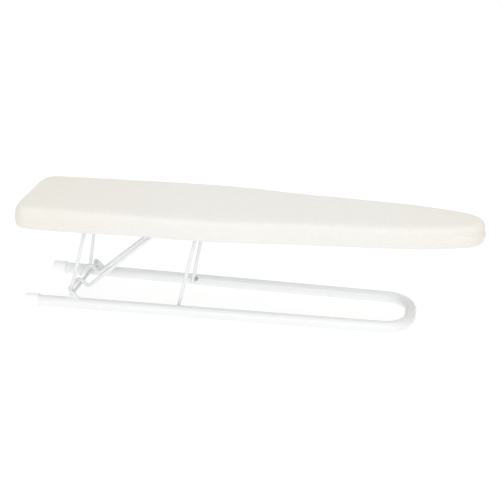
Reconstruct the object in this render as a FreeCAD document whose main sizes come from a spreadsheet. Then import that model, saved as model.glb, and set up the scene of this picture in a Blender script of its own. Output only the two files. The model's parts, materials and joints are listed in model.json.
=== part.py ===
import FreeCAD, Part
import math
import os
import Sketcher
from FreeCAD import Placement, Rotation, Vector

# Tabletop sleeve ironing board: a bent tube base, two leaning wire legs, a hooked wire
# brace and a padded board. Origin at the middle of the footprint on the floor, +X towards
# the nose of the board, +Z up, millimetres.

doc = FreeCAD.newDocument("ironing_board")
sheet = doc.addObject("Spreadsheet::Sheet", "Dimensions")

DIMENSIONS = {
    "tube_dia": 12.7, "tube_wall": 1.2, "tube_z": 7.5,
    "base_left": -245.7, "bend_right": 181.4, "bend_radius": 29.4,
    "spread_left": 45.7, "spread_right": 37.5,
    "cap_dia": 15.0, "cap_length": 16.0, "cap_end": 1.6, "cap_gap": 0.05,
    "flat_length": 21.0, "flat_depth": 0.6,
    "leg_wire": 4.0, "leg_lean": 13.1, "leg_rise": 100.5, "leg_bend": 3.0,
    "left_foot_x": -200.0, "left_foot_half": 35.0, "left_top_half": 15.0, "left_foot_end": 43.5,
    "right_foot_x": -73.4, "right_foot_half": 33.4, "right_top_half": 17.6,
    "right_foot_end": 41.0,
    "bar_dia": 3.8, "bar_x": -192.8, "bar_z": 17.9, "bar_half": 46.4,
    "lug_thick": 2.4, "lug_y": 44.6, "lug_height": 8.0, "lug_top": 4.0, "lug_back": 2.0,
    "lug_front": 7.4, "lug_round": 1.0,
    "brace_wire": 4.2, "brace_half": 13.0, "hook_half": 19.5, "brace_x": -88.3,
    "brace_z": 98.0, "hook_x": -192.2, "hook_z": 26.9, "dip_x": -182.2, "dip_z": 16.8,
    "tip_x": -205.0, "tip_z": 11.5,
    "board_left": -254.0, "board_right": 254.0, "board_top": 122.85, "skirt_bottom": 99.75,
    "corner_radius": 18.0, "end_half": 54.0, "belly_x": -48.0, "belly_half": 58.9,
    "shoulder_x": -6.0, "shoulder_half": 56.6, "waist_x": 30.0, "waist_half": 51.9,
    "taper_x": 150.0, "taper_half": 41.2, "nose_x": 222.0, "nose_half": 28.4,
    "cover_wall": 1.2, "cover_round": 4.0, "hem_width": 5.0,
    "pad_thick": 5.0, "layer_gap": 0.1, "deck_wall": 1.0, "deck_rim": 13.0,
    "elastic_width": 2.4, "elastic_height": 2.2,
    "vent_dia": 7.0, "vent_pitch": 26.0, "vent_half": 34.0, "vent_taper": 20.0,
    "clip_wall": 1.2, "clip_width": 16.0, "clip_flange": 8.0, "pivot_gap": 0.05,
    "rivet_dia": 3.2, "rivet_head": 6.0, "rivet_crown": 1.2,
}


def fill_sheet():
    for row, (name, value) in enumerate(DIMENSIONS.items(), start=1):
        sheet.set("A%d" % row, name)
        sheet.set("B%d" % row, str(value))
        sheet.setAlias("B%d" % row, name)
    doc.recompute()


def size(name):
    return float(sheet.get(name))


def bind(thing, prop, formula):
    thing.setExpression(prop, formula)


def dim(name):
    return "Dimensions.%s" % name


def new_body(name):
    body = doc.addObject("PartDesign::Body", name)
    body.Label = name
    return body


def plane(body, role):
    return next(part for part in body.Origin.OriginFeatures if part.Role == role)


def new_sketch(body, name, role, offset=None):
    """A sketch on one of the body's own planes, moved along its normal by a formula."""
    sketch = body.newObject("Sketcher::SketchObject", name)
    sketch.AttachmentSupport = [(plane(body, role), "")]
    sketch.MapMode = "FlatFace"
    if offset is not None:
        bind(sketch, "AttachmentOffset.Base.z", offset)
    return sketch


def circle(sketch, x, y, diameter_formula, x_formula=None, y_formula=None):
    """A circle whose diameter, and centre if given, are bound to the sheet."""
    n = sketch.addGeometry(Part.Circle(Vector(x, y, 0), Vector(0, 0, 1), 1.0), False)
    rules = [("Diameter", (n, 1.0), diameter_formula)]
    if x_formula is not None:
        rules.append(("DistanceX", (-1, 1, n, 3, x), x_formula))
    if y_formula is not None:
        rules.append(("DistanceY", (-1, 1, n, 3, y), y_formula))
    for kind, where, formula in rules:
        k = sketch.addConstraint(Sketcher.Constraint(kind, *where))
        bind(sketch, "Constraints[%d]" % k, formula)
    return n


def polygon(sketch, points):
    count = len(points)
    for i in range(count):
        a = Vector(*points[i], 0)
        b = Vector(*points[(i + 1) % count], 0)
        sketch.addGeometry(Part.LineSegment(a, b), False)


def rounded_path(points, radius):
    """Lines and tangent arcs through the points, each inner corner bent to the radius."""
    parts = []
    start = points[0]
    for before, corner, after in zip(points, points[1:], points[2:]):
        back = (before - corner).normalize()
        ahead = (after - corner).normalize()
        half = back.getAngle(ahead) / 2
        reach = radius / math.tan(half)
        bisector = (back + ahead).normalize()
        middle = corner + bisector * (radius / math.sin(half) - radius)
        entry = corner + back * reach
        leave = corner + ahead * reach
        parts.append(Part.LineSegment(start, entry))
        parts.append(Part.Arc(entry, middle, leave))
        start = leave
    parts.append(Part.LineSegment(start, points[-1]))
    return parts


def pad(body, sketch, name, length):
    feature = body.newObject("PartDesign::Pad", name)
    feature.Profile = sketch
    bind(feature, "Length", length)
    return feature


def pocket(body, sketch, name, length, both=False, up=False):
    feature = body.newObject("PartDesign::Pocket", name)
    feature.Profile = sketch
    feature.Reversed = up
    if both:
        feature.SideType = "Symmetric"
    bind(feature, "Length", length)
    return feature


def both_sides(feature):
    feature.SideType = "Symmetric"


def edges_at(shape, z):
    """Names of the edges that lie wholly at one height."""
    names = []
    for n, edge in enumerate(shape.Edges, start=1):
        box = edge.BoundBox
        if abs(box.ZMin - z) < 0.01 and abs(box.ZMax - z) < 0.01:
            names.append("Edge%d" % n)
    return names


def fillet(body, base, edges, name, radius):
    feature = body.newObject("PartDesign::Fillet", name)
    feature.Base = (base, edges)
    bind(feature, "Radius", radius)
    return feature


def tube_y(x):
    """Centre-line half spacing of the base tube at a place along it."""
    start = size("base_left")
    end = size("bend_right") - size("bend_radius")
    share = (x - start) / (end - start)
    return size("spread_left") + share * (size("spread_right") - size("spread_left"))


def make_base_tube():
    body = new_body("base_tube")
    left = size("base_left")
    right = size("bend_right")
    spread = tube_y(right)
    path = new_sketch(body, "tube_path", "XY_Plane", dim("tube_z"))
    points = [Vector(left, -size("spread_left"), 0), Vector(right, -spread, 0),
              Vector(right, spread, 0), Vector(left, size("spread_left"), 0)]
    for part in rounded_path(points, size("bend_radius")):
        path.addGeometry(part, False)
    ring = new_sketch(body, "tube_section", "YZ_Plane", dim("base_left"))
    bore = dim("tube_dia") + " - 2 * " + dim("tube_wall")
    for diameter in (dim("tube_dia"), bore):
        circle(ring, -size("spread_left"), size("tube_z"), diameter,
               "-" + dim("spread_left"), dim("tube_z"))
    doc.recompute()
    pipe = body.newObject("PartDesign::AdditivePipe", "tube_bend")
    pipe.Profile = ring
    pipe.Spine = path
    doc.recompute()
    for side in ("left", "right"):
        add_foot_seat(body, side)
    return body


def add_foot_seat(body, side):
    """The flattened length on the inner face and the hole a leg foot turns in."""
    x = size(side + "_foot_x")
    face = tube_y(x) - size("tube_dia") / 2
    half = size("flat_length") / 2
    flat = new_sketch(body, side + "_flat", "XZ_Plane")
    polygon(flat, [(x - half, 0), (x + half, 0), (x + half, 15), (x - half, 15)])
    pocket(body, flat, side + "_flat_cut", "%.4f + 2 * %s" % (2 * face, dim("flat_depth")), True)
    hole = new_sketch(body, side + "_hole", "XZ_Plane")
    circle(hole, x, size("tube_z"), "%s + 2 * %s" % (dim("leg_wire"), dim("pivot_gap")),
           dim(side + "_foot_x"), dim("tube_z"))
    pocket(body, hole, side + "_hole_cut", "2 * " + dim(side + "_foot_end"), True)


def make_cap(name, side):
    """A closed cap turned about the tube end; side is -1 for the front tube, 1 for the rear."""
    body = new_body(name)
    profile = new_sketch(body, name + "_profile", "XZ_Plane")
    inner = size("tube_dia") / 2 + size("cap_gap")
    outer = size("cap_dia") / 2
    end = size("cap_end")
    reach = size("cap_length") - end
    slack = 0.35
    polygon(profile, [(-end, 0), (-end, outer), (reach, outer), (reach, inner),
                      (-slack, inner), (-slack, 0)])
    turn = body.newObject("PartDesign::Revolution", name + "_turn")
    turn.Profile = profile
    turn.ReferenceAxis = (profile, ["H_Axis"])
    turn.Angle = 360
    doc.recompute()
    rim = [n for n, edge in enumerate(turn.Shape.Edges, start=1)
           if abs(edge.BoundBox.XMax + end) < 0.01 and edge.BoundBox.ZMax > outer - 0.1]
    fillet(body, turn, ["Edge%d" % n for n in rim], name + "_round", dim("cap_end") + " * 0.8")
    run = "(%s - %s - %s)" % (dim("bend_right"), dim("bend_radius"), dim("base_left"))
    fall = "(%s - %s)" % (dim("spread_left"), dim("spread_right"))
    body.Placement = Placement(Vector(0, 0, 0), Rotation(Vector(0, 0, -side), 1.0))
    bind(body, "Placement.Rotation.Angle", "atan(%s / %s)" % (fall, run))
    bind(body, "Placement.Base.x", dim("base_left"))
    bind(body, "Placement.Base.y", "%d * %s" % (side, dim("spread_left")))
    bind(body, "Placement.Base.z", dim("tube_z"))
    return body


def make_crossbar():
    body = new_body("crossbar")
    section = new_sketch(body, "crossbar_section", "XZ_Plane")
    circle(section, size("bar_x"), size("bar_z"), dim("bar_dia"), dim("bar_x"), dim("bar_z"))
    both_sides(pad(body, section, "crossbar_length", "2 * " + dim("bar_half")))
    return body


def make_lug(name, side):
    """A three-cornered plate standing on the tube, with a hole for the crossbar."""
    body = new_body(name)
    foot = size("tube_z") + size("tube_dia") / 2
    top = foot + size("lug_height")
    edge_left = size("bar_x") - size("lug_top") / 2 - 0.9
    edge_right = edge_left + size("lug_top")
    corners = [(edge_left - size("lug_back"), foot), (edge_right + size("lug_front"), foot),
               (edge_right, top), (edge_left, top)]
    outline = new_sketch(body, name + "_outline", "XZ_Plane",
                         "%d * %s - %s / 2" % (-side, dim("lug_y"), dim("lug_thick")))
    polygon(outline, corners)
    plate = pad(body, outline, name + "_plate", dim("lug_thick"))
    doc.recompute()
    tips = [n for n, edge in enumerate(plate.Shape.Edges, start=1)
            if abs(edge.BoundBox.ZMin - top) < 0.01 and edge.BoundBox.XLength < 0.01]
    fillet(body, plate, ["Edge%d" % n for n in tips], name + "_round", dim("lug_round"))
    doc.recompute()
    hole = new_sketch(body, name + "_hole", "XZ_Plane")
    circle(hole, size("bar_x"), size("bar_z"), dim("bar_dia") + " + 2 * " + dim("pivot_gap"),
           dim("bar_x"), dim("bar_z"))
    pocket(body, hole, name + "_hole_cut", "2 * %s + 20" % dim("lug_y"), True)
    return body


def make_leg(name, side):
    """A wire bail: outward feet at the bottom, sides closing in to a short top bar."""
    body = new_body(name)
    length = size("leg_rise") / math.cos(math.radians(size("leg_lean")))
    foot_end = size(side + "_foot_end")
    foot = size(side + "_foot_half")
    top = size(side + "_top_half")
    path = new_sketch(body, name + "_path", "YZ_Plane")
    points = [Vector(-foot_end, 0, 0), Vector(-foot, 0, 0), Vector(-top, length, 0),
              Vector(top, length, 0), Vector(foot, 0, 0), Vector(foot_end, 0, 0)]
    for part in rounded_path(points, size("leg_bend")):
        path.addGeometry(part, False)
    section = new_sketch(body, name + "_section", "XZ_Plane", dim(side + "_foot_end"))
    circle(section, 0, 0, dim("leg_wire"))
    doc.recompute()
    sweep = body.newObject("PartDesign::AdditivePipe", name + "_wire")
    sweep.Profile = section
    sweep.Spine = path
    sweep.Transition = "Transformed"
    body.Placement = Placement(Vector(0, 0, 0), Rotation(Vector(0, 1, 0), 1.0))
    bind(body, "Placement.Rotation.Angle", dim("leg_lean"))
    bind(body, "Placement.Base.x", dim(side + "_foot_x"))
    bind(body, "Placement.Base.z", dim("tube_z"))
    return body


def make_brace():
    """One bent wire: two hooked arms joined by the bar it hinges on."""
    low = [(size(n + "_x"), size("hook_half"), size(n + "_z")) for n in ("tip", "hook", "dip")]
    arm = [Vector(*p) for p in low + [(size("brace_x"), size("brace_half"), size("brace_z"))]]
    other = [Vector(p.x, -p.y, p.z) for p in reversed(arm)]
    parts = rounded_path(arm + other, size("brace_wire"))
    spine = Part.Wire([part.toShape() for part in parts])
    start = (arm[1] - arm[0]).normalize()
    section = Part.Wire(Part.Circle(arm[0], start, size("brace_wire") / 2).toShape())
    brace = doc.addObject("Part::Feature", "brace")
    brace.Label = "brace"
    brace.Shape = spine.makePipeShell([section], True, False)
    return brace


def side_points():
    """The places that shape one long side of the board, from the square end to the nose."""
    start = (size("board_left") + size("corner_radius"), size("end_half"))
    names = ("belly", "shoulder", "waist", "taper", "nose")
    return [start] + [(size(n + "_x"), size(n + "_half")) for n in names]


def side_curve():
    points = [Vector(x, y, 0) for x, y in side_points()]
    tip = Vector(size("board_right"), 0, 0)
    curve = Part.BSplineCurve()
    curve.interpolate(Points=points + [tip], InitialTangent=Vector(1, 0.02, 0),
                      FinalTangent=Vector(0, -1, 0))
    return curve


def inset_side(inset):
    """The side curve moved inwards by the same distance everywhere."""
    outer = side_curve()
    first = outer.FirstParameter
    last = outer.LastParameter
    count = 25
    points = []
    for i in range(count + 1):
        place = first + (last - first) * i / count
        along = outer.tangent(place)[0]
        points.append(outer.value(place) + Vector(along.y, -along.x, 0) * inset)
    curve = Part.BSplineCurve()
    curve.interpolate(Points=points, InitialTangent=Vector(1, 0.02, 0),
                      FinalTangent=Vector(0, -1, 0))
    return curve


def board_outline(sketch, inset):
    """The closed outline of the board at an inset from its outer edge."""
    radius = size("corner_radius") - inset
    centre = Vector(size("board_left") + size("corner_radius"),
                    size("end_half") - size("corner_radius"), 0)
    upper = inset_side(inset)
    join = upper.StartPoint
    back = centre + Vector(-radius, 0, 0)
    middle = centre + Vector(-radius, radius, 0) * math.sqrt(0.5)

    def below(point):
        return Vector(point.x, -point.y, 0)

    lower = Part.BSplineCurve()
    lower.interpolate(Points=[below(upper.value(place)) for place in upper.getKnots()],
                      InitialTangent=Vector(1, -0.02, 0), FinalTangent=Vector(0, 1, 0))
    sketch.addGeometry(Part.LineSegment(below(back), back), False)
    sketch.addGeometry(Part.Arc(back, middle, join), False)
    sketch.addGeometry(upper, False)
    sketch.addGeometry(lower, False)
    sketch.addGeometry(Part.Arc(below(join), below(middle), below(back)), False)


def outline_pad(body, name, inset, floor, height):
    """The outline at an inset, raised from one height by a length."""
    sketch = new_sketch(body, name + "_outline", "XY_Plane", floor)
    board_outline(sketch, inset)
    return pad(body, sketch, name + "_raised", height)


def outline_pocket(body, name, inset, floor, height):
    """The outline at an inset, cut upwards from one height by a length."""
    sketch = new_sketch(body, name + "_outline", "XY_Plane", floor)
    board_outline(sketch, inset)
    return pocket(body, sketch, name + "_cut", height, up=True)


def make_cover():
    """The fitted cloth: top, skirt and a hem turned in under the rim."""
    body = new_body("cover")
    tall = "(%s - %s)" % (dim("board_top"), dim("skirt_bottom"))
    wall = size("cover_wall")
    outline_pad(body, "cover", 0.0, dim("skirt_bottom"), tall)
    inner_floor = "%s + %s" % (dim("skirt_bottom"), dim("cover_wall"))
    outline_pocket(body, "cover_inside", wall, inner_floor,
                   "%s - 2 * %s" % (tall, dim("cover_wall")))
    mouth = outline_pocket(body, "cover_mouth", size("hem_width"), dim("skirt_bottom"),
                           dim("cover_wall"))
    doc.recompute()
    rim = edges_at(mouth.Shape, size("board_top"))
    over = fillet(body, mouth, rim, "cover_round", dim("cover_round"))
    doc.recompute()
    inside = edges_at(over.Shape, size("board_top") - wall)
    fillet(body, over, inside, "cover_inner_round",
           "%s - %s" % (dim("cover_round"), dim("cover_wall")))
    return body


def layer_inset():
    return size("cover_wall") + size("layer_gap")


def pad_bottom():
    return "(%s - %s - %s - %s)" % (dim("board_top"), dim("cover_wall"), dim("layer_gap"),
                                    dim("pad_thick"))


def deck_bottom():
    return "(%s - %s - %s)" % (pad_bottom(), dim("layer_gap"), dim("deck_rim"))


def deck_underside():
    """Height of the underside of the deck plate, where the clips sit."""
    top = size("board_top") - size("cover_wall") - 2 * size("layer_gap") - size("pad_thick")
    return top - size("deck_wall")


def make_foam_pad():
    body = new_body("foam_pad")
    slab = outline_pad(body, "foam", layer_inset(), pad_bottom(), dim("pad_thick"))
    doc.recompute()
    top = size("board_top") - size("cover_wall") - size("layer_gap")
    fillet(body, slab, edges_at(slab.Shape, top), "foam_round",
           "%s - %s" % (dim("cover_round"), dim("cover_wall")))
    return body


def make_elastic():
    """The elastic drawn round inside the hem."""
    body = new_body("elastic_cord")
    floor = "%s + %s + %s" % (dim("skirt_bottom"), dim("cover_wall"), dim("layer_gap"))
    outline_pad(body, "elastic", layer_inset(), floor, dim("elastic_height"))
    outline_pocket(body, "elastic_inside", layer_inset() + size("elastic_width"), floor,
                   dim("elastic_height"))
    return body


def clip_places():
    """Pivot x, pivot height and wire of the three clips under the deck."""
    lean = math.tan(math.radians(size("leg_lean"))) * size("leg_rise")
    leg_z = size("tube_z") + size("leg_rise")
    return {
        "leg_left": (size("left_foot_x") + lean, leg_z, size("leg_wire")),
        "leg_right": (size("right_foot_x") + lean, leg_z, size("leg_wire")),
        "brace": (size("brace_x"), size("brace_z"), size("brace_wire")),
    }


def rivet_reach(wire):
    """How far each rivet stands from the pivot it holds."""
    outer = wire / 2 + size("pivot_gap") + size("clip_wall")
    return outer + size("clip_flange") / 2


def make_deck():
    """A pressed steel pan with vent holes and the rivet holes of the clips."""
    body = new_body("deck")
    wall = size("deck_wall")
    outline_pad(body, "deck", layer_inset(), deck_bottom(), dim("deck_rim"))
    hollow = outline_pocket(body, "deck_inside", layer_inset() + wall, deck_bottom(),
                            "%s - %s" % (dim("deck_rim"), dim("deck_wall")))
    doc.recompute()
    top = deck_underside() + wall
    fillet(body, hollow, edges_at(hollow.Shape, top), "deck_round", dim("deck_wall") + " * 0.9")
    holes = new_sketch(body, "deck_holes", "XY_Plane", deck_bottom())
    for x, wire in [(place[0], place[2]) for place in clip_places().values()]:
        for way in (-1, 1):
            circle(holes, x + way * rivet_reach(wire), 0.0,
                   "%s + 2 * %s" % (dim("rivet_dia"), dim("layer_gap")))
    for x, y in vent_places():
        circle(holes, x, y, dim("vent_dia"))
    pocket(body, holes, "deck_holes_cut", dim("deck_rim"), up=True)
    return body


def vent_places():
    """Two rows of vents along the deck, closing in with the taper."""
    places = []
    pitch = size("vent_pitch")
    count = int((size("nose_x") - size("board_left")) / pitch)
    for i in range(count):
        x = size("board_left") + pitch * (i + 1)
        share = max(0.0, (x - size("waist_x")) / (size("nose_x") - size("waist_x")))
        y = size("vent_half") - size("vent_taper") * share
        places += [(x, y), (x, -y)]
    return places


def make_clip(name, x, z, wire):
    """A strap bent round a wire and spread into two flanges under the deck."""
    body = new_body(name)
    roof = deck_underside()
    inner = wire / 2 + size("pivot_gap")
    outer = inner + size("clip_wall")
    far = outer + size("clip_flange")
    under = roof - size("clip_wall")
    sketch = new_sketch(body, name + "_profile", "XZ_Plane")

    def at(dx, height):
        return Vector(x + dx, height, 0)

    lines = [(at(-far, roof), at(-inner, roof)), (at(-inner, roof), at(-inner, z)),
             (at(inner, z), at(inner, roof)), (at(inner, roof), at(far, roof)),
             (at(far, roof), at(far, under)), (at(far, under), at(outer, under)),
             (at(outer, under), at(outer, z)), (at(-outer, z), at(-outer, under)),
             (at(-outer, under), at(-far, under)), (at(-far, under), at(-far, roof))]
    for a, b in lines:
        sketch.addGeometry(Part.LineSegment(a, b), False)
    for reach in (inner, outer):
        sketch.addGeometry(Part.Arc(at(-reach, z), at(0, z - reach), at(reach, z)), False)
    both_sides(pad(body, sketch, name + "_strap", dim("clip_width")))
    doc.recompute()
    holes = new_sketch(body, name + "_holes", "XY_Plane", str(round(under, 4)))
    for way in (-1, 1):
        circle(holes, x + way * rivet_reach(wire), 0.0,
               "%s + 2 * %s" % (dim("rivet_dia"), dim("layer_gap")))
    pocket(body, holes, name + "_holes_cut", dim("clip_wall"), up=True)
    return body


def make_rivets(name, x, wire):
    """The two rivets of one clip: shanks through clip and deck, crowned heads below."""
    under = deck_underside() - size("clip_wall")
    solids = []
    for n, way in enumerate((-1, 1), start=1):
        place = Vector(x + way * rivet_reach(wire), 0, under)
        shank = doc.addObject("Part::Cylinder", "%s_shank_%d" % (name, n))
        bind(shank, "Radius", dim("rivet_dia") + " / 2")
        bind(shank, "Height", "%s + %s" % (dim("clip_wall"), dim("deck_wall")))
        shank.Placement = Placement(place, Rotation())
        head = doc.addObject("Part::Cone", "%s_head_%d" % (name, n))
        bind(head, "Radius1", dim("rivet_head") + " / 3")
        bind(head, "Radius2", dim("rivet_head") + " / 2")
        bind(head, "Height", dim("rivet_crown"))
        head.Placement = Placement(place - Vector(0, 0, size("rivet_crown")), Rotation())
        solids += [shank, head]
    fused = doc.addObject("Part::MultiFuse", name)
    fused.Label = name
    fused.Shapes = solids
    return fused


def build():
    pieces = [make_base_tube(), make_cap("end_cap_front", -1), make_cap("end_cap_rear", 1),
              make_crossbar(), make_lug("lug_front", -1), make_lug("lug_rear", 1),
              make_leg("leg_left", "left"), make_leg("leg_right", "right"), make_brace(),
              make_deck(), make_foam_pad(), make_cover(), make_elastic()]
    for name, (x, z, wire) in clip_places().items():
        pieces.append(make_clip("clip_" + name, x, z, wire))
        pieces.append(make_rivets("rivets_" + name, x, wire))
    doc.recompute()
    return pieces


def check(thing):
    bad = [state for state in thing.State if state in ("Invalid", "Error")]
    if bad or thing.isDerivedFrom("Part::Feature") and thing.Shape.isNull():
        raise RuntimeError("%s did not build" % thing.Label)


fill_sheet()
pieces = build()
for thing in doc.Objects:
    if thing.isDerivedFrom("Part::Feature") and not thing.isDerivedFrom("Part::Part2DObject"):
        check(thing)
os.makedirs("parts", exist_ok=True)
for piece in pieces:
    if not piece.Shape.isValid():
        raise RuntimeError("%s is not a valid solid" % piece.Label)
    piece.Shape.exportStep("parts/%s.step" % piece.Label)
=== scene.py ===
import json
import math

import bpy
import numpy as np
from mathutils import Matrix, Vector
from mathutils.bvhtree import BVHTree


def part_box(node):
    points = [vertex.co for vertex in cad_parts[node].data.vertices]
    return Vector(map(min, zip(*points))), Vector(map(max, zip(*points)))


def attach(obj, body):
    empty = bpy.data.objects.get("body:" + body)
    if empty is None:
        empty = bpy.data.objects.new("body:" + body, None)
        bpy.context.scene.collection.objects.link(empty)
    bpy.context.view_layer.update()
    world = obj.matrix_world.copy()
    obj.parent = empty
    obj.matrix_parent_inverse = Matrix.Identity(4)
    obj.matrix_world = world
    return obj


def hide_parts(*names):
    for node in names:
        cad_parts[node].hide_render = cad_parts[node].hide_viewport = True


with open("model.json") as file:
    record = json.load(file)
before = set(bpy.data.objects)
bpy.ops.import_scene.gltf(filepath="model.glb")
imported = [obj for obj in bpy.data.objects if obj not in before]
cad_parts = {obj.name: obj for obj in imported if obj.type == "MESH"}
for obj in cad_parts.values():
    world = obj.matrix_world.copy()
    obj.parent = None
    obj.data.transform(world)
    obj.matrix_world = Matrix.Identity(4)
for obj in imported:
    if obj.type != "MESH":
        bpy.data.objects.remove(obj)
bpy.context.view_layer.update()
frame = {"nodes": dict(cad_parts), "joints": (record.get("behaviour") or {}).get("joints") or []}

MM = 0.001
COVER_LOW, COVER_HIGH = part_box("cover")
BAR_LOW, BAR_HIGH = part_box("crossbar")
JOINT = {joint["name"]: Vector(joint["pos_m"]) for joint in frame["joints"]}
WHITE = (0.86, 0.874, 0.884)
OUTLINE_POINTS = 420
HEM_RUFFLES = 74
PRESSURE_FRAMES = 20
rng = np.random.default_rng(7)


# ---------------------------------------------------------------- node helpers

class Shader:
    """A Principled material built step by step from procedural nodes."""

    def __init__(self, name, **sockets):
        self.material = bpy.data.materials.new(name)
        self.material.use_nodes = True
        self.tree = self.material.node_tree
        self.tree.nodes.clear()
        self.out = self.add("ShaderNodeOutputMaterial")
        self.main = self.add("ShaderNodeBsdfPrincipled")
        self.link(self.main.outputs[0], self.out.inputs["Surface"])
        for key, value in sockets.items():
            self.main.inputs[key.replace("_", " ")].default_value = value
        coords = self.add("ShaderNodeTexCoord")
        self.place = coords.outputs["Object"]

    def add(self, kind, **settings):
        node = self.tree.nodes.new(kind)
        for key, value in settings.items():
            setattr(node, key, value)
        return node

    def link(self, a, b):
        self.tree.links.new(a, b)

    def scaled(self, scale):
        mapping = self.add("ShaderNodeMapping")
        mapping.inputs["Scale"].default_value = scale
        self.link(self.place, mapping.inputs["Vector"])
        return mapping.outputs[0]

    def noise(self, scale, detail=3.0, rough=0.55, vector=None):
        node = self.add("ShaderNodeTexNoise")
        node.inputs["Scale"].default_value = scale
        node.inputs["Detail"].default_value = detail
        node.inputs["Roughness"].default_value = rough
        self.link(vector or self.place, node.inputs["Vector"])
        return node.outputs["Fac"]

    def wave(self, scale, distortion, vector=None):
        node = self.add("ShaderNodeTexWave", bands_direction="DIAGONAL")
        node.inputs["Scale"].default_value = scale
        node.inputs["Distortion"].default_value = distortion
        self.link(vector or self.place, node.inputs["Vector"])
        return node.outputs["Fac"]

    def remap(self, value, low, high, to_low, to_high):
        node = self.add("ShaderNodeMapRange")
        for key, number in (("From Min", low), ("From Max", high), ("To Min", to_low),
                            ("To Max", to_high)):
            node.inputs[key].default_value = number
        self.link(value, node.inputs["Value"])
        return node.outputs[0]

    def maths(self, operation, a, b):
        node = self.add("ShaderNodeMath", operation=operation)
        for socket, value in zip(node.inputs, (a, b)):
            if isinstance(value, (int, float)):
                socket.default_value = value
            else:
                self.link(value, socket)
        return node.outputs[0]

    def blend(self, share, first, second):
        """A colour between two, either of which may be a colour or a socket."""
        colour_a, colour_b, mixed = 6, 7, 2
        node = self.add("ShaderNodeMix", data_type="RGBA")
        self.link(share, node.inputs["Factor"])
        for socket, value in ((node.inputs[colour_a], first), (node.inputs[colour_b], second)):
            if isinstance(value, tuple):
                socket.default_value = (*value, 1.0)
            else:
                self.link(value, socket)
        return node.outputs[mixed]

    def near(self, point, reach):
        """1 at a point of the object, falling to 0 at a distance."""
        node = self.add("ShaderNodeVectorMath", operation="DISTANCE")
        node.inputs[1].default_value = point
        self.link(self.place, node.inputs[0])
        return self.remap(node.outputs["Value"], 0.0, reach, 1.0, 0.0)

    def colour(self, socket):
        self.link(socket, self.main.inputs["Base Color"])

    def roughness(self, socket):
        self.link(socket, self.main.inputs["Roughness"])

    def bump(self, height, strength, distance):
        node = self.add("ShaderNodeBump")
        node.inputs["Strength"].default_value = strength
        node.inputs["Distance"].default_value = distance
        self.link(height, node.inputs["Height"])
        previous = self.main.inputs["Normal"].links
        if previous:
            self.link(previous[0].from_socket, node.inputs["Normal"])
        self.link(node.outputs[0], self.main.inputs["Normal"])


def enamel(name, tone, worn_at=(), painted_shade_at=()):
    """Glossy white enamel: fine orange peel, clouding, chipped near moving wires, and painted
    shade patches at given points.
    """
    s = Shader(name, Coat_Weight=0.35, Coat_Roughness=0.12, Specular_IOR_Level=0.5)
    cloud = s.noise(28.0, 4.0)
    base = s.blend(s.remap(cloud, 0.35, 0.7, 0.0, 1.0), tone,
                   tuple(c * f for c, f in zip(tone, (0.982, 0.988, 0.99))))
    specks = s.remap(s.noise(1400.0, 2.0), 0.72, 0.76, 0.0, 0.22)
    base = s.blend(specks, base, (0.62, 0.63, 0.62))
    for point, reach in worn_at:
        close = s.near(point, reach)
        ragged = s.maths("MULTIPLY", close, s.noise(700.0, 5.0, 0.7))
        base = s.blend(s.remap(ragged, 0.42, 0.50, 0.0, 0.75), base, (0.33, 0.32, 0.31))
    # painted shade: ragged dark grey-teal patches, as if the enamel lay in shadow there
    for point, reach in painted_shade_at:
        uneven = s.remap(s.noise(500.0), 0.2, 0.6, 0.7, 1.1)
        edge = s.maths("MULTIPLY", s.near(point, reach), uneven)
        base = s.blend(s.remap(edge, 0.2, 0.5, 0.0, 0.9), base, (0.40, 0.43, 0.43))
    s.colour(base)
    s.roughness(s.remap(s.noise(60.0, 4.0), 0.3, 0.75, 0.16, 0.24))
    s.bump(s.noise(700.0, 2.0), 0.03, 0.0002)
    return s.material


def moulded_cap():
    """White moulded plastic: fine spark-eroded grain, a parting line, scuffed end."""
    s = Shader("cap_moulded", Specular_IOR_Level=0.4, Subsurface_Weight=0.08,
               Subsurface_Scale=0.002)
    dirt = s.remap(s.noise(90.0, 5.0, 0.65), 0.50, 0.75, 0.0, 0.4)
    base = s.blend(dirt, (0.97, 0.975, 0.97), (0.90, 0.905, 0.90))
    s.colour(base)
    s.roughness(s.remap(s.noise(200.0, 3.0), 0.3, 0.7, 0.42, 0.60))
    s.bump(s.noise(2600.0, 2.0), 0.22, 0.0002)
    split = s.add("ShaderNodeSeparateXYZ")
    s.link(s.place, split.inputs[0])
    parting_height = JOINT["fold"].z
    half_width = 0.35 * MM
    offset = s.maths("ABSOLUTE", s.maths("SUBTRACT", split.outputs["Z"], parting_height), 0.0)
    s.bump(s.remap(offset, 0.0, half_width, 1.0, 0.0), 0.5, 0.0002)
    return s.material


def pressed_steel(name, tone, metallic, rough, grain):
    """Sheet steel with rolling grain, cloudy plating and fine scratches."""
    s = Shader(name, Metallic=metallic, Specular_IOR_Level=0.5)
    drawn = s.noise(grain, 4.0, 0.6, s.scaled((0.08, 1.0, 1.0)))
    cloud = s.noise(35.0, 5.0)
    dark = tuple(c * 0.84 for c in tone)
    s.colour(s.blend(s.remap(cloud, 0.3, 0.72, 0.0, 1.0), tone, dark))
    both = s.maths("ADD", s.maths("MULTIPLY", drawn, 0.5), s.maths("MULTIPLY", cloud, 0.5))
    s.roughness(s.remap(both, 0.3, 0.7, rough * 0.75, rough * 1.25))
    s.bump(drawn, 0.14, 0.0003)
    return s.material


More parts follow.
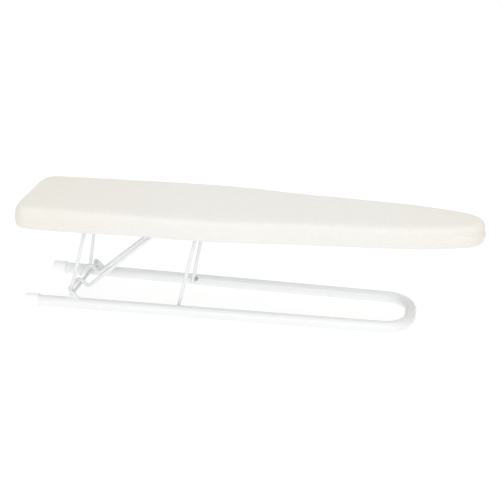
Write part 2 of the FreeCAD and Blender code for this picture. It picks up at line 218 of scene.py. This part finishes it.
def woven_cotton(name, tone, shade):
    """Plain-weave cotton: crossed threads with painted shade between them, slubs, soft sheen, and
    painted shade that makes it yellower towards the ends.
    """
    s = Shader(name, Sheen_Weight=0.35, Sheen_Roughness=0.45, Specular_IOR_Level=0.25)
    threads = 950.0
    warp = s.noise(threads, 2.0, 0.5, s.scaled((1.0, 0.1, 0.1)))
    weft = s.noise(threads, 2.0, 0.5, s.scaled((0.1, 1.0, 1.0)))
    weave = s.remap(s.maths("ADD", warp, weft), 0.7, 1.3, 0.0, 1.0)
    slub = s.noise(160.0, 5.0, 0.65, s.scaled((0.3, 1.0, 1.0)))
    broad = s.noise(9.0, 3.0)
    base = s.blend(s.remap(broad, 0.3, 0.7, 0.0, 1.0), tone, shade)
    split = s.add("ShaderNodeSeparateXYZ")
    s.link(s.place, split.inputs[0])
    # painted shade: from 100 mm either side of x = 20 mm the cloth turns yellower and a little
    # darker towards both ends
    whitest = 20 * MM
    along = s.maths("ABSOLUTE", s.maths("SUBTRACT", split.outputs["X"], whitest), 0.0)
    painted_end_shade = tuple(c * f for c, f in zip(shade, (0.99, 0.975, 0.915)))
    base = s.blend(s.remap(along, 0.10, 0.28, 0.0, 0.8), base, painted_end_shade)
    # painted shade: a little darker in the low places between the crossed threads
    base = s.blend(s.remap(weave, 0.0, 1.0, 0.22, 0.0), base, tuple(c * 0.82 for c in shade))
    base = s.blend(s.remap(slub, 0.58, 0.75, 0.0, 0.22), base, (0.97, 0.96, 0.93))
    s.colour(base)
    s.roughness(s.remap(slub, 0.3, 0.7, 0.74, 0.90))
    s.bump(weave, 0.16, 0.0002)
    s.bump(slub, 0.12, 0.0004)
    s.bump(s.noise(32.0, 3.0), 0.10, 0.0022)
    return s.material


def open_foam():
    """Cream open-cell foam, with painted shade darkening the inside of its cells."""
    s = Shader("pad_open_foam", Sheen_Weight=0.2, Roughness=0.95)
    cells = s.add("ShaderNodeTexVoronoi")
    cells.inputs["Scale"].default_value = 900.0
    s.link(s.place, cells.inputs["Vector"])
    depth = s.remap(cells.outputs["Distance"], 0.0, 0.6, 0.0, 1.0)
    # painted shade: darker and yellower deep in each cell
    s.colour(s.blend(depth, (0.62, 0.56, 0.38), (0.86, 0.81, 0.62)))
    s.bump(depth, 0.6, 0.0006)
    return s.material


def braided_elastic():
    """Two crossed sets of slanted threads, with painted shade in the grooves between them."""
    s = Shader("elastic_braid", Sheen_Weight=0.3, Specular_IOR_Level=0.25)
    one = s.wave(330.0, 0.6)
    two = s.wave(330.0, 0.6, s.scaled((-1.0, 1.0, 1.0)))
    braid = s.maths("MAXIMUM", one, two)
    # painted shade: darker where the threads dip
    s.colour(s.blend(braid, (0.70, 0.69, 0.66), (0.90, 0.89, 0.86)))
    s.roughness(s.remap(braid, 0.0, 1.0, 0.9, 0.7))
    s.bump(braid, 0.5, 0.0004)
    return s.material


def sewing_thread():
    """Cream thread with a slanted twist and painted shade in its grooves."""
    s = Shader("hem_thread", Sheen_Weight=0.3, Specular_IOR_Level=0.35)
    twist = s.wave(900.0, 0.3)
    # painted shade: darker in the grooves of the twist
    s.colour(s.blend(twist, (0.80, 0.785, 0.745), (0.86, 0.845, 0.81)))
    s.roughness(s.remap(twist, 0.0, 1.0, 0.75, 0.5))
    s.bump(twist, 0.5, 0.0001)
    return s.material


# ---------------------------------------------------------------- mesh helpers

def new_piece(name, verts, faces, material, body):
    """A smooth-shaded mesh object that rides a body, with one material."""
    mesh = bpy.data.meshes.new(name)
    mesh.from_pydata([tuple(v) for v in verts], [], faces)
    mesh.validate()
    obj = bpy.data.objects.new(name, mesh)
    bpy.context.scene.collection.objects.link(obj)
    mesh.materials.append(material)
    mesh.shade_smooth()
    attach(obj, body)
    return obj


def run_modifier(obj, modifier):
    with bpy.context.temp_override(object=obj, active_object=obj, selected_objects=[obj]):
        bpy.ops.object.modifier_apply(modifier=modifier.name)


def closed_strip(rings):
    """Vertices and quads of rings of points, each ring closed, joined one to the next."""
    count = len(rings[0])
    verts = np.vstack(rings)
    faces = []
    for r in range(len(rings) - 1):
        for i in range(count):
            j = (i + 1) % count
            a = r * count
            b = a + count
            faces.append((a + i, a + j, b + j, b + i))
    return verts, faces


def foot_edges(node):
    """Edges of a CAD node's lowest flat face that meet its upright walls, by position in mm."""
    down, upright, level = -0.9, -0.5, 0.1
    mesh = frame["nodes"][node].data
    spots = [tuple(round(c / MM, 2) for c in v.co) for v in mesh.vertices]
    lowest = min(spot[2] for spot in spots)
    slopes = {}
    for face in mesh.polygons:
        for a, b in face.edge_keys:
            pair = tuple(sorted((spots[a], spots[b])))
            slopes.setdefault(pair, []).append(face.normal.z)
    return [pair for pair, slope in slopes.items()
            if min(slope) < down and max(slope) > upright and pair[0][2] - lowest < level]


def outline_from(node, count):
    """A CAD node's outline from above: anticlockwise, even, smoothed, starting at the nose."""
    beside = {}
    for a, b in foot_edges(node):
        beside.setdefault(a, []).append(b)
        beside.setdefault(b, []).append(a)
    first = max(beside)
    loop = [first]
    step = max(beside[first], key=lambda spot: spot[1])
    while step != first:
        ahead = [spot for spot in beside[step] if spot != loop[-1]]
        loop.append(step)
        step = ahead[0]
    half = np.array([spot[:2] for spot in loop if spot[1] > 0.01]) * MM
    ends = np.array([[COVER_HIGH.x, 0.0], [COVER_LOW.x, 0.0]])
    half = spread(np.vstack([ends[:1], half, ends[1:]]), count // 2 + 1)
    other = half[::-1] * (1.0, -1.0)
    ring = np.vstack([half[:-1], other[:-1]])
    for _ in range(5):
        ring = blurred(ring, axis=0)
    return ring


def blurred(values, axis):
    """Each value averaged with its neighbours along a closed axis."""
    return (np.roll(values, 1, axis=axis) + 2.0 * values + np.roll(values, -1, axis=axis)) / 4.0


def spread(line, count):
    """A line of points, spaced evenly along itself."""
    along = np.concatenate([[0.0], np.cumsum(np.hypot(*np.diff(line, axis=0).T))])
    where = np.linspace(0.0, along[-1], count)
    return np.column_stack([np.interp(where, along, line[:, k]) for k in (0, 1)])


def evenly(ring, count):
    """A closed ring, spaced evenly along itself."""
    return spread(np.vstack([ring, ring[:1]]), count + 1)[:-1]


def inward(ring):
    """Unit normals of an anticlockwise ring, pointing in."""
    along = np.roll(ring, -1, axis=0) - np.roll(ring, 1, axis=0)
    along /= np.hypot(*along.T)[:, None]
    return np.column_stack([-along[:, 1], along[:, 0]])


def spine_of(ring):
    """For each outline point, the point on the middle line that the top runs to."""
    start = ring[:, 0].min() + 52 * MM
    x = np.clip(ring[:, 0], start, ring[:, 0].max() - 46 * MM)
    end_half = np.abs(ring[ring[:, 0] < start, 1]).max()
    bow = 16 * MM * (1.0 - (np.abs(ring[:, 1]) / end_half) ** 2)
    x = np.where(ring[:, 0] < start, x - np.maximum(bow, 0.0), x)
    return np.column_stack([x, np.zeros(len(ring))])


# ---------------------------------------------------------------- the cover

def build_cover(material, ring):
    """Top, skirt and turned-in hem as one cloth, swollen a little over its pad."""
    count = len(ring)
    normal = inward(ring)
    foot = COVER_LOW.z
    turn = np.linspace(0.0, 1.0, count, endpoint=False) * 2 * math.pi
    fold = 0.5 + 0.5 * np.sin(turn * HEM_RUFFLES + 1.2 * np.sin(turn * 9))
    # inset from the outline, height above the skirt's foot and how far ruffles lift it, in mm,
    # from the gathered hem out round the foot, up the skirt and over the top edge
    profile = [(9.0, 2.6, 0.9), (6.5, 1.2, 0.7), (3.8, -0.2, 0.35), (1.9, -0.4, 0.12),
               (0.7, 0.3, 0.03), (0.15, 2.3, 0.0), (0.0, 5.0, 0.0), (0.0, 7.2, 0.0),
               (0.0, 9.0, 0.0), (0.0, 10.1, 0.0), (0.0, 11.0, 0.0), (0.0, 11.8, 0.0),
               (0.0, 12.6, 0.0), (0.0, 13.5, 0.0), (0.0, 14.6, 0.0), (0.0, 15.9, 0.0),
               (0.25, 17.6, 0.0), (1.1, 19.8, 0.0), (2.6, 21.5, 0.0), (4.8, 22.5, 0.0)]
    rings = []
    for inset, height, gather in profile:
        flat = ring + normal * (inset * MM)
        z = foot + (height + gather * fold) * MM
        rings.append(np.column_stack([flat, z]))
    top_inset, top_height, _ = profile[-1]
    crown = 0.75
    edge = ring + normal * (top_inset * MM)
    spine = spine_of(ring)
    for share in (0.06, 0.14, 0.25, 0.39, 0.56, 0.74, 0.9):
        flat = edge + (spine - edge) * share
        rise = (top_height + crown * (1.0 - math.exp(-share * 9.0))) * MM
        rings.append(np.column_stack([flat, np.full(count, foot + rise)]))
    verts, faces = closed_strip(rings)
    faces += spine_cap(len(rings) - 1, count)
    obj = new_piece("cover_cloth", verts, faces, material, "board")
    swell(obj, count, pinned=5, cap=0.5 * MM)
    shape_nose(obj, foot)
    roll_square_end(obj)
    fill_front_corner(obj)
    finish_cloth(obj)
    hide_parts("cover")
    return obj


def spine_cap(level, count):
    """Faces that close a ring, each joining one side to the same place on the other."""
    base = level * count
    faces = [(base, base + 1, base + count - 1)]
    for k in range(1, count // 2 - 1):
        faces.append((base + k, base + k + 1, base + count - k - 1, base + count - k))
    half = count // 2
    faces.append((base + half - 1, base + half, base + half + 1))
    return faces


def point_array(collection, attribute):
    """One vector attribute of a mesh as an array of rows."""
    values = np.empty(len(collection) * 3)
    collection.foreach_get(attribute, values)
    return values.reshape(-1, 3)


def swell(obj, count, pinned, cap):
    """Cloth under light pressure, hem held; only its outward rise is kept, up to a cap."""
    before = point_array(obj.data.vertices, "co")
    away = point_array(obj.data.vertex_normals, "vector")
    held = obj.vertex_groups.new(name="hem")
    held.add(list(range(pinned * count)), 1.0, "REPLACE")
    cloth = obj.modifiers.new("swell", "CLOTH")
    cloth.settings.quality = 6
    cloth.settings.mass = 0.25
    cloth.settings.tension_stiffness = 25
    cloth.settings.compression_stiffness = 20
    cloth.settings.bending_stiffness = 0.8
    cloth.settings.vertex_group_mass = "hem"
    cloth.settings.use_pressure = True
    cloth.settings.uniform_pressure_force = 4.0
    cloth.settings.shrink_min = -0.006
    cloth.settings.effector_weights.gravity = 0.0
    scene = bpy.context.scene
    for step in range(1, PRESSURE_FRAMES + 1):
        scene.frame_set(step)
    run_modifier(obj, cloth)
    scene.frame_set(1)
    obj.vertex_groups.clear()
    move = point_array(obj.data.vertices, "co") - before
    lift = np.clip((move * away).sum(axis=1), 0.0, cap).reshape(-1, count)
    for _ in range(4):
        lift = blurred(lift, axis=1)
        lift[1:-1] = (lift[:-2] + 2.0 * lift[1:-1] + lift[2:]) / 4.0
    lift[:pinned] = 0.0
    obj.data.vertices.foreach_set("co", (before + away * lift.reshape(-1, 1)).ravel())
    obj.data.update()


def shape_nose(obj, foot):
    """The tuck across the skirt at the nose: a pinched line, deepest at the tip, puffed below."""
    tip = COVER_HIGH.x
    tucked_length = 60.0
    centre = tip - 30 * MM
    for vertex in obj.data.vertices:
        x, y, z = vertex.co
        back = (tip - x) / MM
        if back > tucked_length:
            continue
        reach = 30.0 if y < 0 else 14.0
        line = foot + (11.4 + min(3.4, back * 0.13)) * MM
        fade = math.exp(-(back / reach) ** 2)
        over = (z - line) / MM
        spread_out = 1.2 if over < 0 else 3.0
        pinch = math.exp(-(over / spread_out) ** 2) * fade
        puff = math.exp(-((over + 3.2) / 2.8) ** 2) * 1.3 * fade
        out = Vector((x - centre, y, 0.0)).normalized()
        vertex.co = vertex.co + out * ((puff - pinch) * MM)


def ramp(value, low, high):
    """0 below low, 1 above high, smooth between."""
    share = min(1.0, max(0.0, (value - low) / (high - low)))
    return share * share * (3.0 - 2.0 * share)


def roll_square_end(obj):
    """Cloth or foam rolled in a little at the top edge of the square end, more at the front."""
    low = COVER_LOW.z + 7 * MM
    high = COVER_HIGH.z - 1 * MM
    for vertex in obj.data.vertices:
        x, y, z = vertex.co
        back = (x - COVER_LOW.x) / MM
        roll = (1.0 - ramp(back, 2.0, 26.0)) * ramp(z, low, high)
        skew = 1.1 - 0.45 * y / (50 * MM)
        vertex.co = (x + skew * MM * roll, y, z - 0.3 * MM * roll)


def fill_front_corner(obj):
    """The cloth's loose front corner at the square end, fuller and lower."""
    fuller, lower = 2.8 * MM, 1.6 * MM
    for vertex in obj.data.vertices:
        x, y, z = vertex.co
        near = 1.0 - ramp((x - COVER_LOW.x) / MM, 40.0, 150.0)
        front = min(1.0, max(0.0, -y / (50 * MM)))
        low = min(1.0, max(0.0, (COVER_HIGH.z - z) / (10 * MM)))
        vertex.co = (x, y - fuller * near * front * (0.5 + 0.5 * low),
                     z - lower * near * front * low)


def finish_cloth(obj):
    """A finer mesh with the cloth's own thickness, added inwards."""
    fine = obj.modifiers.new("finer", "SUBSURF")
    fine.levels = 1
    fine.render_levels = 1
    run_modifier(obj, fine)
    thick = obj.modifiers.new("thick", "SOLIDIFY")
    thick.thickness = 0.5 * MM
    thick.offset = -1.0
    run_modifier(obj, thick)
    obj.data.shade_smooth()


def build_stitches(material, ring, cloth):
    """The hem's running stitch, a few millimetres above the skirt's lower edge."""
    stitches = 430
    outside = 0.02
    proud = 0.02 * MM
    dense = evenly(ring, stitches)
    out = -inward(dense)
    along = np.column_stack([-out[:, 1], out[:, 0]])
    surface = BVHTree.FromPolygons([v.co for v in cloth.data.vertices],
                                   [tuple(p.vertices) for p in cloth.data.polygons])
    verts = []
    faces = []
    height = COVER_LOW.z + 6.0 * MM
    for place, push, way in zip(dense, out, along):
        side = Vector((*push, 0.0))
        start = Vector((*place, height + rng.normal(0, 0.05) * MM)) + side * outside
        hit = surface.ray_cast(start, -side)[0]
        centre = np.array(hit + side * proud)
        verts, faces = add_stitch(verts, faces, centre, np.array([*way, 0.0]), np.array(side))
    return new_piece("hem_stitching", verts, faces, material, "board")


def add_stitch(verts, faces, centre, run, side):
    """One six-sided stitch, thinner at its ends where it dips into the cloth."""
    up = np.array([0.0, 0.0, 1.0])
    half_length = 0.95 * MM
    start = len(verts)
    for step in (-1.0, -0.45, 0.45, 1.0):
        thick, sink = (0.14, -0.40) if abs(step) == 1.0 else (0.24, 0.0)
        middle = centre + run * (step * half_length) + side * (sink * MM)
        for corner in range(6):
            angle = corner * math.pi / 3
            spoke = side * math.cos(angle) + up * math.sin(angle)
            verts.append(middle + spoke * (thick * MM))
    faces += [tuple(start + k for k in face) for face in tube_faces(4, 6)]
    return verts, faces


def tube_faces(sections, sides):
    """Quads round an open tube of sections with the same number of corners."""
    faces = []
    for k in range(sections - 1):
        for corner in range(sides):
            a = k * sides + corner
            b = k * sides + (corner + 1) % sides
            faces.append((a, b, b + sides, a + sides))
    return faces


def build_pad(material, ring):
    """The foam under the cloth: a rounded slab."""
    low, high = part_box("foam_pad")
    count = len(ring)
    normal = inward(ring)
    spine = spine_of(ring)
    tall = (high.z - low.z) / MM
    under = 0.05
    # inset from the outline and height above the pad's foot, in mm, up its rounded side
    profile = [(2.6, under), (2.1, 0.6), (2.0, 2.2), (2.6, 3.6), (4.2, tall - 0.5),
               (7.0, tall - 0.1)]

    def level_ring(flat, height):
        return np.column_stack([flat, np.full(count, low.z + height * MM)])

    rings = [level_ring(ring + (spine - ring) * share, under) for share in (0.92, 0.5)]
    rings += [level_ring(ring + normal * (inset * MM), height) for inset, height in profile]
    rings += [level_ring(ring + (spine - ring) * share, tall) for share in (0.3, 0.6, 0.92)]
    verts, faces = closed_strip(rings)
    faces += spine_cap(len(rings) - 1, count)
    faces += [tuple(reversed(face)) for face in spine_cap(0, count)]
    pad = new_piece("pad_foam_slab", verts, faces, material, "board")
    roll_square_end(pad)
    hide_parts("foam_pad")


def build_elastic(material, ring):
    """The elastic drawn through the hem's inner edge, ruffled where the hem gathers."""
    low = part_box("elastic_cord")[0]
    dense = evenly(ring, 900)
    inner = inward(dense)
    middle = low.z + 1.5 * MM
    corners = 10
    turn = np.linspace(0.0, 2 * math.pi, len(dense), endpoint=False)
    wobble = 0.25 * np.sin(turn * HEM_RUFFLES)
    sections = []
    for corner in range(corners):
        angle = corner * 2 * math.pi / corners
        inset = 3.0 + 1.1 * math.cos(angle)
        height = middle + (1.0 * math.sin(angle) + wobble) * MM
        sections.append(np.column_stack([dense + inner * (inset * MM), height]))
    sections.append(sections[0])
    verts, faces = closed_strip(sections)
    piece = new_piece("hem_elastic", verts, faces, material, "board")
    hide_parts("elastic_cord")


def build_welds(material):
    """Small beads where each lug is welded to its tube, one on each side of the plate."""
    for name in ("lug_front", "lug_rear"):
        low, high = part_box(name)
        for edge, away, label in ((low.y, -1.0, "a"), (high.y, 1.0, "b")):
            verts, faces = bead(low, high, edge, away)
            new_piece(name + "_weld_" + label, verts, faces, material, "base")


def bead(low, high, y, away):
    """A rippled bead along a plate's foot, tapered at both ends."""
    steps = 26
    sides = 10
    overrun = 0.6 * MM
    offset = 0.25 * MM
    verts = []
    for k in range(steps + 1):
        share = k / steps
        x = low.x - overrun + (high.x - low.x + 2 * overrun) * share
        pulse = 0.78 + 0.22 * abs(math.sin(share * math.pi * 7))
        taper = math.sin(math.pi * min(1.0, max(0.02, share))) ** 0.35
        radius = 1.15 * MM * pulse * taper
        for corner in range(sides):
            angle = corner * 2 * math.pi / sides
            verts.append((x, y + away * offset + radius * math.cos(angle),
                          low.z - offset + radius * math.sin(angle)))
    faces = tube_faces(steps + 1, sides)
    faces.append(tuple(range(sides)))
    faces.append(tuple(reversed(range(steps * sides, (steps + 1) * sides))))
    return verts, faces


# ---------------------------------------------------------------- dress the CAD

def dress(nodes, material):
    """One material on some CAD nodes."""
    for name in nodes:
        obj = frame["nodes"][name]
        obj.data.materials.clear()
        obj.data.materials.append(material)


def dress_all():
    """Materials on the CAD's own pieces; the enamel is worn where one piece turns in another, and
    has painted shade just beside each leg foot.
    """
    feet = [(JOINT[name], side) for name in ("fold", "right_leg_turn") for side in (-1, 1)]
    tube_marks = [((p.x, side * 37 * MM, p.z), 9 * MM) for p, side in feet]
    # painted shade: a small dark patch beside each leg foot, standing in for the shadowed step of
    # the tube's flattened dimple
    painted_dimple_shades = [((p.x + 3.6 * MM, side * 36.6 * MM, p.z + 3.2 * MM), 4.1 * MM) for p, side in feet]
    bar = (BAR_LOW + BAR_HIGH) / 2
    hook_marks = [((bar.x, side * 18 * MM, bar.z + 2 * MM), 7 * MM) for side in (-1, 1)]
    dress(["base_tube"], enamel("tube_enamel", WHITE, tube_marks, painted_dimple_shades))
    dress(["lug_front", "lug_rear"], enamel("lug_enamel", WHITE))
    # painted shade: the crossbar is the same white enamel, given a greyer tone for the shade
    # under the board
    dress(["crossbar"], enamel("bar_enamel_painted_shade", (0.77, 0.79, 0.80), hook_marks))
    dress(["leg_left", "leg_right"], enamel("leg_enamel", WHITE, tube_marks))
    dress(["brace"], enamel("brace_enamel", WHITE, hook_marks))
    dress(["end_cap_front", "end_cap_rear"], moulded_cap())
    dress(["deck"], pressed_steel("deck_enamelled", (0.74, 0.75, 0.74), 0.25, 0.42, 240.0))
    dress(["clip_leg_left", "clip_leg_right", "clip_brace"],
          pressed_steel("clip_zinc", (0.66, 0.67, 0.68), 1.0, 0.34, 700.0))
    dress(["rivets_leg_left", "rivets_leg_right", "rivets_brace"],
          pressed_steel("rivet_bare", (0.76, 0.76, 0.77), 1.0, 0.30, 1500.0))


# ---------------------------------------------------------------- stage and camera

def build_floor():
    """A wide pale sweep of paper that glows enough to read as white."""
    half = 20.0
    verts = [(-half, -half, 0), (half, -half, 0), (half, half, 0), (-half, half, 0)]
    mesh = bpy.data.meshes.new("floor")
    mesh.from_pydata(verts, [], [(0, 1, 2, 3)])
    floor = bpy.data.objects.new("floor", mesh)
    bpy.context.scene.collection.objects.link(floor)
    s = Shader("floor_paper", Specular_IOR_Level=0.1, Roughness=0.9, Emission_Strength=0.80)
    s.main.inputs["Emission Color"].default_value = (1.0, 1.0, 1.0, 1.0)
    s.colour(s.blend(s.noise(2.0, 2.0), (0.24, 0.24, 0.24), (0.26, 0.26, 0.26)))
    mesh.materials.append(s.material)


def softbox(name, place, aim, size, power):
    """A rectangular area light at one place, turned to another."""
    light = bpy.data.lights.new(name, "AREA")
    light.shape = "RECTANGLE"
    light.size, light.size_y = size
    light.energy = power
    obj = bpy.data.objects.new(name, light)
    obj.location = place
    obj.rotation_euler = (Vector(aim) - Vector(place)).to_track_quat("-Z", "Y").to_euler()
    bpy.context.scene.collection.objects.link(obj)


def studio_world():
    """Even white light, dimmer and warmer towards the two ends of the board."""
    world = bpy.data.worlds.new("studio")
    world.use_nodes = True
    tree = world.node_tree
    sky = tree.nodes["Background"]
    sky.inputs["Strength"].default_value = 0.84
    coords = tree.nodes.new("ShaderNodeTexCoord")
    split = tree.nodes.new("ShaderNodeSeparateXYZ")
    tree.links.new(coords.outputs["Generated"], split.inputs[0])
    fade = tree.nodes.new("ShaderNodeValToRGB")
    place = tree.nodes.new("ShaderNodeMapRange")
    place.inputs["From Min"].default_value = -1.0
    tree.links.new(split.outputs["X"], place.inputs["Value"])
    tree.links.new(place.outputs[0], fade.inputs["Fac"])
    stops = fade.color_ramp.elements
    stops[0].color = (0.40, 0.37, 0.30, 1.0)
    stops[1].color = (0.59, 0.565, 0.44, 1.0)
    for position in (0.36, 0.60):
        stops.new(position).color = (1.0, 1.0, 1.0, 1.0)
    tree.links.new(fade.outputs["Color"], sky.inputs["Color"])
    bpy.context.scene.world = world


def light_up():
    """A large soft light in front, another overhead, and the studio round them."""
    bpy.context.scene.view_settings.view_transform = "Standard"
    studio_world()
    softbox("front_box", (0.30, -1.52, 0.80), (0, 0, 0.06), (2.2, 0.8), 9.0)
    softbox("top_box", (0.0, -0.1, 1.7), (0, 0, 0.05), (1.6, 1.2), 6.5)


def add_camera():
    """The photo's point of view."""
    azimuth = math.radians(10.91)
    elevation = math.radians(23.51)
    distance = 1.226
    back = Vector((math.sin(azimuth) * math.cos(elevation),
                   -math.cos(azimuth) * math.cos(elevation), math.sin(elevation)))
    target = Vector((2.8, 0.0, 67.75)) * MM
    data = bpy.data.cameras.new("photo_view")
    data.sensor_width = 36.0
    data.lens = 79.4
    data.clip_start = 0.01
    camera = bpy.data.objects.new("photo_view", data)
    camera.location = target + back * distance
    camera.rotation_euler = back.to_track_quat("Z", "Y").to_euler()
    bpy.context.scene.collection.objects.link(camera)
    bpy.context.scene.camera = camera


dress_all()
outline = outline_from("cover", OUTLINE_POINTS)
cotton = woven_cotton("cover_weave", (0.845, 0.832, 0.812), (0.825, 0.812, 0.787))
cloth = build_cover(cotton, outline)
build_stitches(sewing_thread(), outline, cloth)
build_pad(open_foam(), outline)
build_elastic(braided_elastic(), outline)
build_welds(enamel("weld_enamel", WHITE))
build_floor()
light_up()
add_camera()
